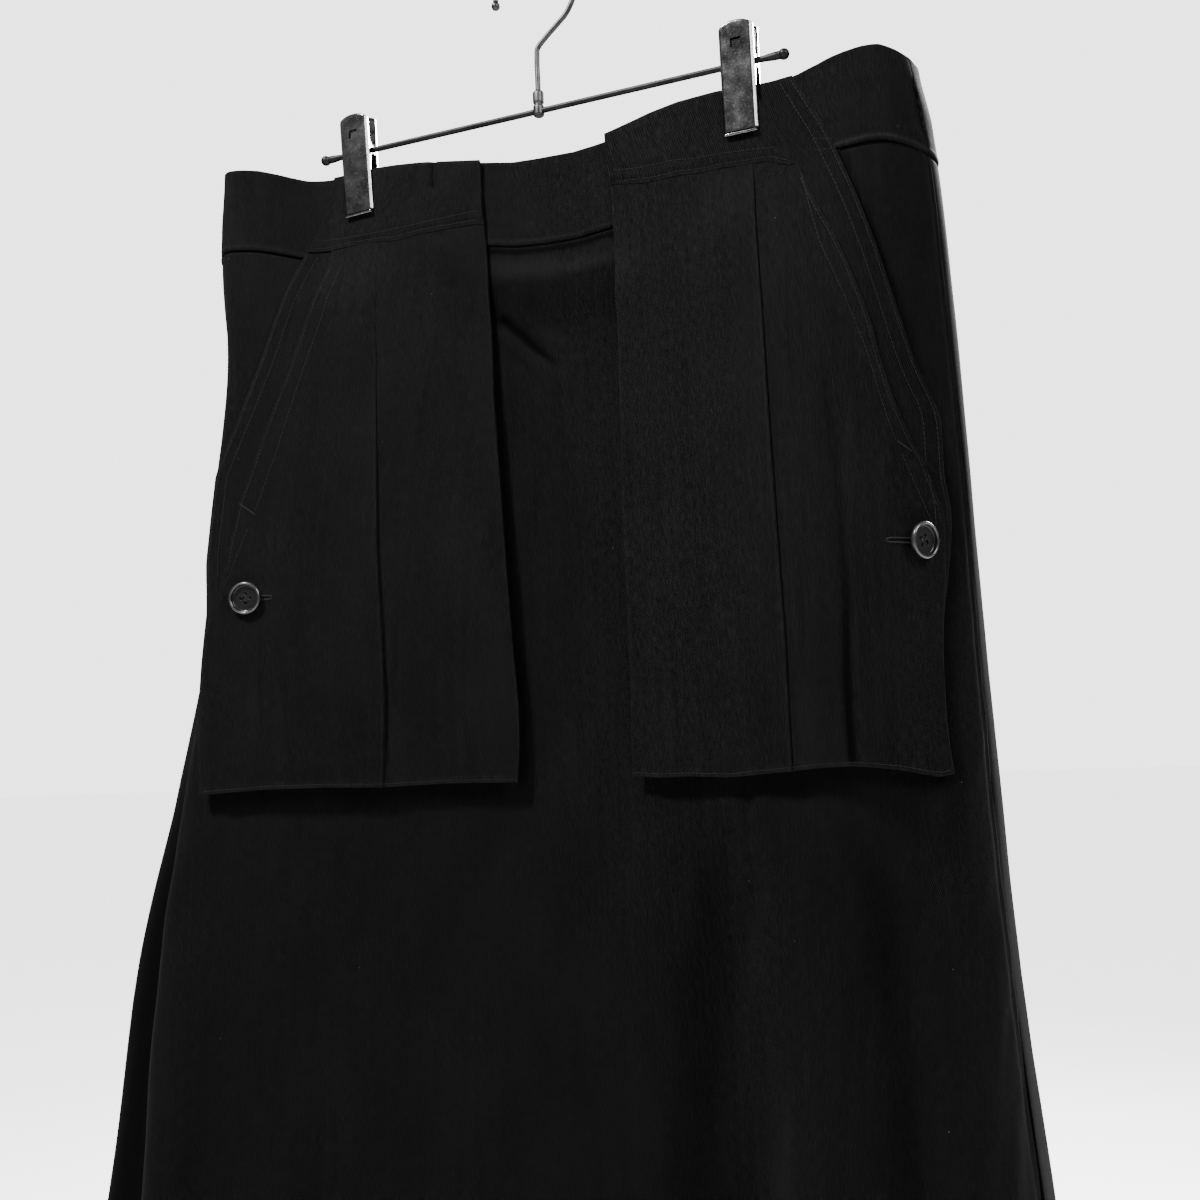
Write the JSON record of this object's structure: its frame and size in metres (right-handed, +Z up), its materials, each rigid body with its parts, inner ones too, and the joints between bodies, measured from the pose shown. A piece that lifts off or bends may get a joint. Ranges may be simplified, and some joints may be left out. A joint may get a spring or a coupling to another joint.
{
  "type": "kilt on a clip hanger",
  "caption": "Long A-line black twill kilt-style skirt with a waistband and buttoned hanging pocket panels, clipped to a wire hanger.",
  "frame": {"origin": "where the hook's inner top rests on its rail", "axes": "+Z up, +X towards the wearer's left hand (right in the picture), -Y towards the front of the garment"},
  "size_m": [0.6631, 0.2681, 0.9582],
  "materials": {
    "skirt_twill": "black cotton twill, matt",
    "band_twill": "black cotton twill, matt",
    "panel_twill": "black cotton twill, matt",
    "panel_lining_twill": "black cotton twill, matt",
    "button_black": "glossy black",
    "wire_steel": "dark chrome plate",
    "clip_steel": "dark chrome plate",
    "spring_steel": "bright wire"
  },
  "bodies": {
    "root": {"skirt_front": "skirt_twill", "skirt_side_left": "skirt_twill", "skirt_side_right": "skirt_twill", "skirt_back_left": "skirt_twill", "skirt_back_right": "skirt_twill", "waistband_front": "band_twill", "waistband_back": "band_twill", "pocket_left_face": "panel_twill", "pocket_left_under": "panel_lining_twill", "pocket_right_face": "panel_twill", "pocket_right_under": "panel_lining_twill", "button_left": "button_black", "button_right": "button_black", "hanger_rod": "wire_steel", "hook": "wire_steel", "clip_left_front": "clip_steel", "clip_left_back": "clip_steel", "clip_left_spring": "spring_steel", "clip_right_front": "clip_steel", "clip_right_back": "clip_steel", "clip_right_spring": "spring_steel"}
  },
  "joints": []
}
